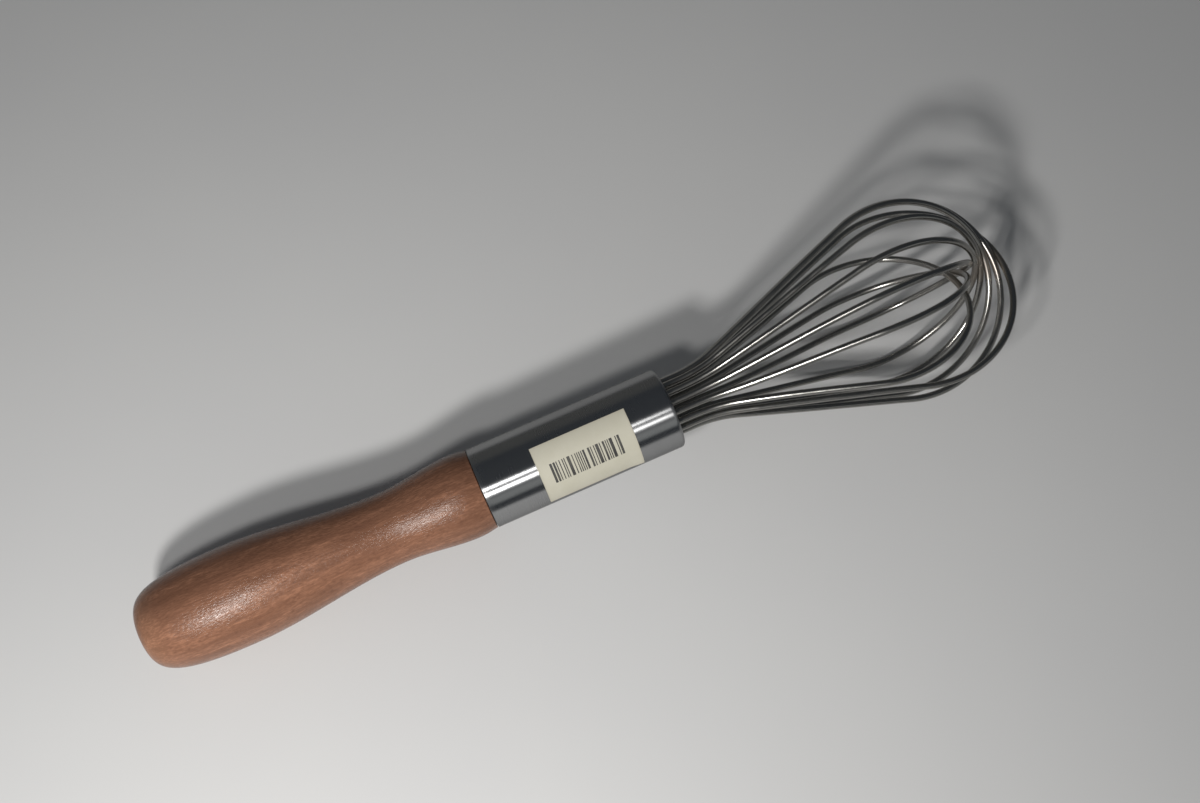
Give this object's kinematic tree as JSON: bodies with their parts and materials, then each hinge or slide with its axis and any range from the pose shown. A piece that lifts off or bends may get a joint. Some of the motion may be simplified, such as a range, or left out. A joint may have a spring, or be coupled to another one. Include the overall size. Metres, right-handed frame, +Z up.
{
  "type": "balloon whisk",
  "caption": "Balloon whisk with nested wire loops clamped in a straight steel ferrule on a turned wooden handle, lying at rest on its side, for beating and blending food by hand.",
  "frame": {"origin": "middle of the whisk's outline on the table that it lies on", "axes": "+X along the whisk from the butt to the balloon, +Z up from the table, +Y to the left of the whisk"},
  "size_m": [0.2812, 0.062, 0.0589],
  "materials": {
    "beech": "turned beech, stained red-brown, satin lacquer",
    "ferrule_steel": "stainless tube, fine lengthwise polish",
    "wire_steel": "bright drawn spring wire",
    "core_filler": "dark cast filler",
    "label_paper": "matt cream paper"
  },
  "bodies": {
    "root": {"handle": "beech", "ferrule": "ferrule_steel", "wire_core": "core_filler", "wire_loop_1": "wire_steel", "wire_loop_2": "wire_steel", "wire_loop_3": "wire_steel", "wire_loop_4": "wire_steel", "wire_loop_5": "wire_steel", "wire_loop_6": "wire_steel", "wire_loop_7": "wire_steel", "wire_loop_8": "wire_steel", "paper_label": "label_paper"}
  },
  "joints": []
}
